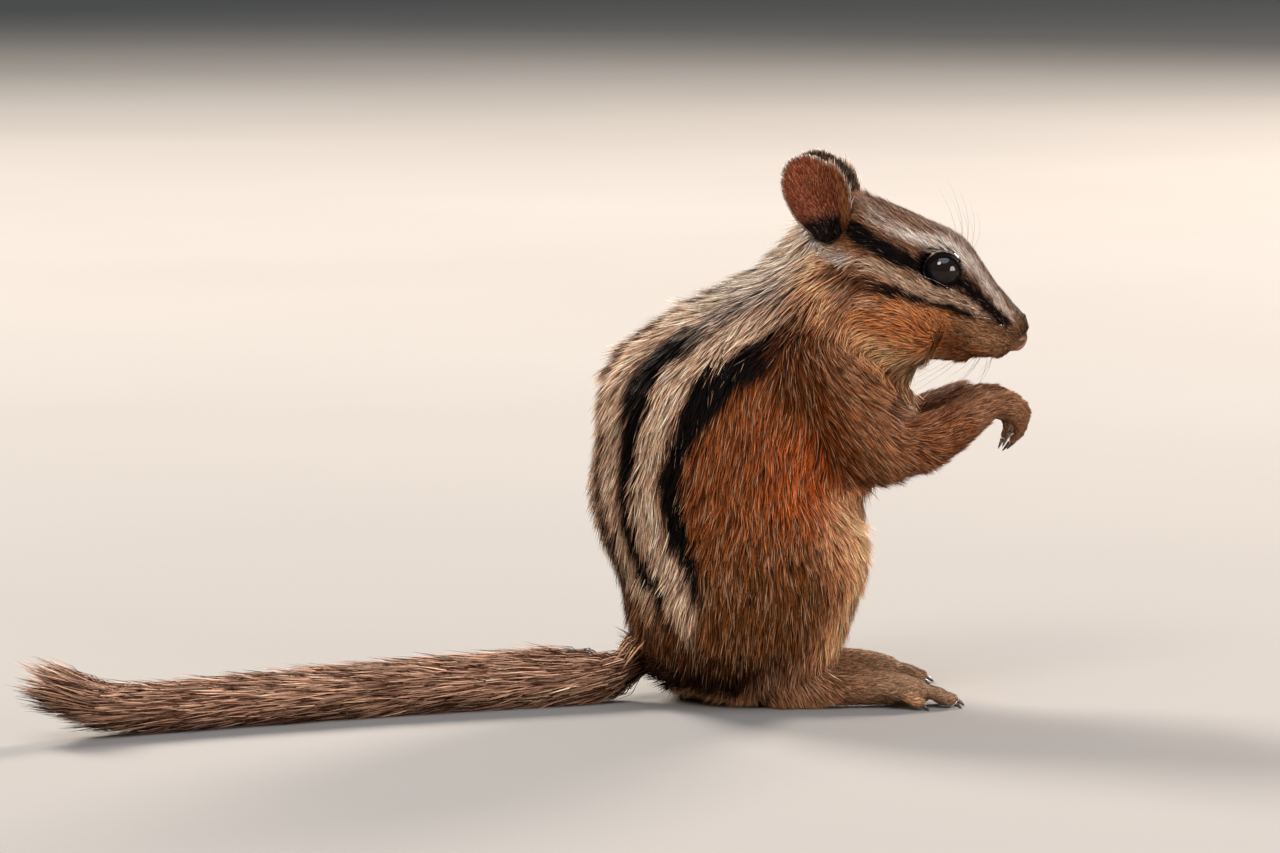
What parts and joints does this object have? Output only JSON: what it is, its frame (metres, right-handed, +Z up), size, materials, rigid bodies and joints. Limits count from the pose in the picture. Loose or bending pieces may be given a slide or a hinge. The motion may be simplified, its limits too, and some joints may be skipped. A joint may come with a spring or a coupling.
{
  "type": "chipmunk",
  "caption": "Life-size chipmunk sitting up on its haunches, hands raised to its mouth, head turned a little to its right, long tail laid out behind along the floor.",
  "frame": {"origin": "on the floor, in the flat under the rump", "axes": "+X the way the body faces, +Y to the animal's left, +Z up; the tail lies along -X"},
  "size_m": [0.1564, 0.0507, 0.0844],
  "materials": {
    "fur_back": "short striped coat",
    "fur_flank": "short orange-brown coat",
    "fur_pale": "very short pale coat",
    "fur_tail": "long bristly hair, dark with pale tips",
    "ear_skin": "thin skin with fine down",
    "nose_skin": "bare moist skin",
    "eye": "wet black eye",
    "claw": "horn"
  },
  "bodies": {
    "root": {"ear_right": "ear_skin", "eye_right": "eye", "upper_arm_right": "fur_flank", "forearm_right": "fur_pale", "hand_right": "fur_pale", "thigh_right": "fur_flank", "foot_right": "fur_pale", "fore_claw_right_1": "claw", "fore_claw_right_2": "claw", "fore_claw_right_3": "claw", "fore_claw_right_4": "claw", "hind_claw_right_1": "claw", "hind_claw_right_2": "claw", "hind_claw_right_3": "claw", "hind_claw_right_4": "claw", "hind_claw_right_5": "claw", "ear_left": "ear_skin", "eye_left": "eye", "upper_arm_left": "fur_flank", "forearm_left": "fur_pale", "hand_left": "fur_pale", "thigh_left": "fur_flank", "foot_left": "fur_pale", "fore_claw_left_1": "claw", "fore_claw_left_2": "claw", "fore_claw_left_3": "claw", "fore_claw_left_4": "claw", "hind_claw_left_1": "claw", "hind_claw_left_2": "claw", "hind_claw_left_3": "claw", "hind_claw_left_4": "claw", "hind_claw_left_5": "claw", "head": "fur_back", "nose": "nose_skin", "neck": "fur_back", "torso": "fur_back", "tail_base": "fur_tail", "tail_middle": "fur_tail", "tail_tip": "fur_tail"}
  },
  "joints": []
}
